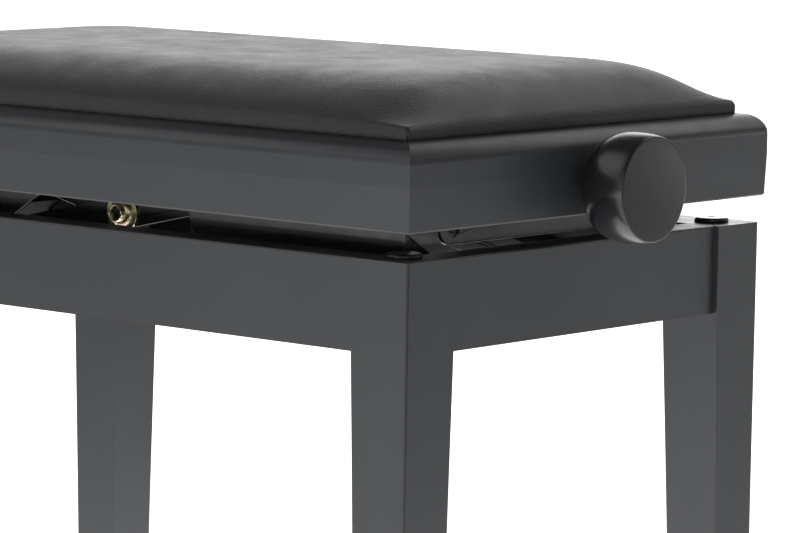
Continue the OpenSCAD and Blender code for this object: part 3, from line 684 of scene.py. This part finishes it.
def plain_ends(left, right, start, turns, radius):
    """Outlines of the plain ends, as (x, radius), between the spindle's ends and the thread's."""
    stub = start + THREAD_PITCH * (turns + 0.5)
    run_in = start + OVERLAP
    long_end = [(left, 0), (left, radius - CHAMFER), (left + CHAMFER, radius), (start - THREAD_PITCH, radius),
                (run_in, radius - THREAD_DEPTH), (run_in, 0)]
    stub_end = [(stub, 0), (stub, radius), (right - CHAMFER, radius), (right, radius - CHAMFER), (right, 0)]
    return long_end, stub_end


def threaded_spindle():
    """The spindle with its trapezoidal thread where the drive nut runs, and plain turned ends."""
    low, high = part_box("spindle")
    radius = (high.z - low.z) / 2
    axis_z = (high.z + low.z) / 2
    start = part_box("drive_nut")[0].x - THREAD_LEAD
    turns = round((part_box("spindle_collars")[1].x - THREAD_SHORT - start) / THREAD_PITCH)
    points, faces = thread(start, turns, radius, axis_z)
    for outline in plain_ends(low.x, high.x, start, turns, radius):
        turned, turned_faces = lathe(outline, axis_z, steps=48)
        faces += [tuple(i + len(points) for i in face) for face in turned_faces]
        points += turned
    piece = new_piece("spindle_threaded", points, faces, "bright_steel", "spindle")
    crease(piece, degrees=40)
    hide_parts("spindle")


def lathe(outline, axis_z, steps):
    """Points and faces of an outline of (x, radius) turned about an axis along X."""
    points, faces, rings = [], [], []
    for x, r in outline:
        if r == 0:
            rings.append([len(points)] * steps)
            points.append((x, 0, axis_z))
            continue
        rings.append([len(points) + k for k in range(steps)])
        points += [(x, r * math.cos(2 * math.pi * k / steps), axis_z + r * math.sin(2 * math.pi * k / steps))
                   for k in range(steps)]
    for a, b in zip(rings, rings[1:]):
        for k in range(steps):
            n = (k + 1) % steps
            corners = [a[k], a[n], b[n], b[k]]
            faces.append(tuple(dict.fromkeys(corners)))
    return points, faces


# ---------- middle nuts ----------

NUT_LENGTH = 6 * MM
# Its outline, as (mm out from its seat, mm from its axis)
NUT_OUTLINE = ((0, 4.15), (0, 8.3), (0.3, 8.5), (0.9, 8.5), (1.3, 8.2), (2.0, 7.5), (2.5, 6.4), (2.7, 5.6),
               (5.2, 5.5), (5.7, 5.3), (6.0, 4.9), (5.9, 4.5), (5.5, 4.2), (0, 4.15))


def turned_nut(side):
    """A collared nut on the scissor's middle pivot: flange, rounded shoulder, and a ring round its bore."""
    low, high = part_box("middle_nuts")
    axis_z = (low.z + high.z) / 2
    seat = high.y - NUT_LENGTH
    turned, faces = lathe([(out * MM, r * MM) for out, r in NUT_OUTLINE], 0, steps=96)
    points = [(y, side * (seat + out), axis_z + z) for out, y, z in turned]
    return points, faces


def middle_nuts():
    points, faces = [], []
    for side in (-1, 1):
        turned, turned_faces = turned_nut(side)
        faces += [tuple(i + len(points) for i in face) for face in turned_faces]
        points += turned
    piece = new_piece("middle_nuts_turned", points, faces, "yellow_zinc", "drive_arms")
    crease(piece, degrees=50)
    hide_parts("middle_nuts")


# ---------- knobs ----------

KNOB_RIM = 1.2 * MM
# How much smaller than the knob its flat face and its back are, in radius
KNOB_FACE_IN = 2.7 * MM
KNOB_BACK_IN = 8 * MM
# Distances from its back to where the barrel is widest and to the web behind it, and the hub's radius
KNOB_WIDEST = 22 * MM
KNOB_WEB = 4 * MM
KNOB_HUB = 11 * MM
# How far the shoulder turns over, from where the barrel is widest to the rim
KNOB_TURN = math.radians(62)


def knob_outline(radius, length):
    """A knob's outline, as (distance from its back, radius): hub, barrel, rounded shoulder, rim and face."""
    face = radius - KNOB_FACE_IN
    back = radius - KNOB_BACK_IN
    front = length - KNOB_RIM
    rim_high = face + KNOB_RIM
    reach = KNOB_WIDEST - KNOB_WEB - 1.5 * MM
    end = math.cos(KNOB_TURN)
    hub = [(0, 0), (0, KNOB_HUB), (KNOB_WEB - 1 * MM, KNOB_HUB), (KNOB_WEB, back - 2 * MM)]
    barrel = [(KNOB_WIDEST - reach * math.cos(a), back + (radius - back) * math.sin(a))
              for a in np.linspace(0, math.pi / 2, 25)]
    shoulder = [(KNOB_WIDEST + (front - KNOB_WIDEST) * math.sin(a) / math.sin(KNOB_TURN),
                 rim_high + (radius - rim_high) * (math.cos(a) - end) / (1 - end))
                for a in np.linspace(0, KNOB_TURN, 25)[1:]]
    rim = [(front + KNOB_RIM * math.sin(a), face + KNOB_RIM * math.cos(a))
           for a in np.linspace(0.5, math.pi / 2, 8)]
    return hub + barrel + shoulder + rim + [(length, 0)]


def knob(side, node):
    """A turned knob in place of its faceted node, with a small rim round its face."""
    low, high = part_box(node)
    radius = (high.z - low.z) / 2
    back = low.x if side > 0 else high.x
    outline = [(back + side * x, r) for x, r in knob_outline(radius, high.x - low.x)]
    points, faces = lathe(outline, (high.z + low.z) / 2, steps=160)
    piece = new_piece(node + "_turned", points, faces, "knob_black", "spindle")
    crease(piece, degrees=35)
    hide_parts(node)


# ---------- studio ----------

def camera():
    """The camera at the photograph's viewing angle: over the right end's front corner, a long lens."""
    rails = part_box("seat_rail_right")
    corner = Vector((rails[1].x, rails[0].y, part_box("leg_front_right")[1].z))
    distance = 2.2557
    yaw, pitch, roll = (math.radians(a) for a in (40.25, 6.68, 0.93))
    slide_right, slide_up = -4.65 * MM, -0.87 * MM
    forward = Vector((-math.sin(yaw) * math.cos(pitch), math.cos(yaw) * math.cos(pitch), -math.sin(pitch)))
    right = forward.cross(Vector((0, 0, 1))).normalized()
    up = right.cross(forward)
    turned_right = right * math.cos(roll) + up * math.sin(roll)
    turned_up = up * math.cos(roll) - right * math.sin(roll)
    place = corner - forward * distance + turned_right * slide_right + turned_up * slide_up
    data = bpy.data.cameras.new("camera")
    data.sensor_width = 36
    data.lens = 188.66
    data.clip_end = 100
    made = bpy.data.objects.new("camera", data)
    axes = Matrix((turned_right, turned_up, -forward)).transposed().to_4x4()
    made.matrix_world = Matrix.Translation(place) @ axes
    bpy.context.scene.collection.objects.link(made)
    bpy.context.scene.camera = made


def floor():
    half = 30
    corners = [(-half, -half, 0), (half, -half, 0), (half, half, 0), (-half, half, 0)]
    mesh = bpy.data.meshes.new("floor")
    mesh.from_pydata(corners, [], [(0, 1, 2, 3)])
    made = bpy.data.objects.new("floor", mesh)
    made.data.materials.append(pale_floor())
    bpy.context.scene.collection.objects.link(made)


def room_light(tree, coords, azimuth, elevation, strength):
    """A socket that gives the strength of one soft light of the room."""
    towards = tree.nodes.new("ShaderNodeVectorMath")
    towards.operation = "DOT_PRODUCT"
    towards.inputs[1].default_value = heading(azimuth, elevation)
    tree.links.new(coords, towards.inputs[0])
    lobe = tree.nodes.new("ShaderNodeMapRange")
    lobe.interpolation_type = "SMOOTHSTEP"
    lobe.inputs["From Min"].default_value = math.cos(math.radians(LIGHT_GONE))
    lobe.inputs["From Max"].default_value = math.cos(math.radians(LIGHT_FULL))
    lobe.inputs["To Max"].default_value = strength
    tree.links.new(towards.outputs["Value"], lobe.inputs["Value"])
    return lobe.outputs["Result"]


def studio():
    """A dim room with large soft lights round it."""
    world = bpy.data.worlds.new("studio")
    world.use_nodes = True
    tree = world.node_tree
    coords = tree.nodes.new("ShaderNodeTexCoord").outputs["Generated"]
    glow = tree.nodes.new("ShaderNodeValue").outputs["Value"]
    glow.default_value = ROOM_GLOW
    for light in ROOM_LIGHTS:
        added = tree.nodes.new("ShaderNodeMath")
        tree.links.new(glow, added.inputs[0])
        tree.links.new(room_light(tree, coords, *light), added.inputs[1])
        glow = added.outputs["Value"]
    background = tree.nodes["Background"]
    tree.links.new(glow, background.inputs["Strength"])
    background.inputs["Color"].default_value = (1, 1, 1, 1)
    bpy.context.scene.world = world
    bpy.context.scene.view_settings.view_transform = "Standard"


# ---------- scene ----------

dress_cad_nodes()
dress(frame["nodes"]["middle_bolts"], "black_steel")
cushion()
threaded_spindle()
middle_nuts()
knob(-1, "knob_left")
knob(1, "knob_right")
camera()
floor()
studio()
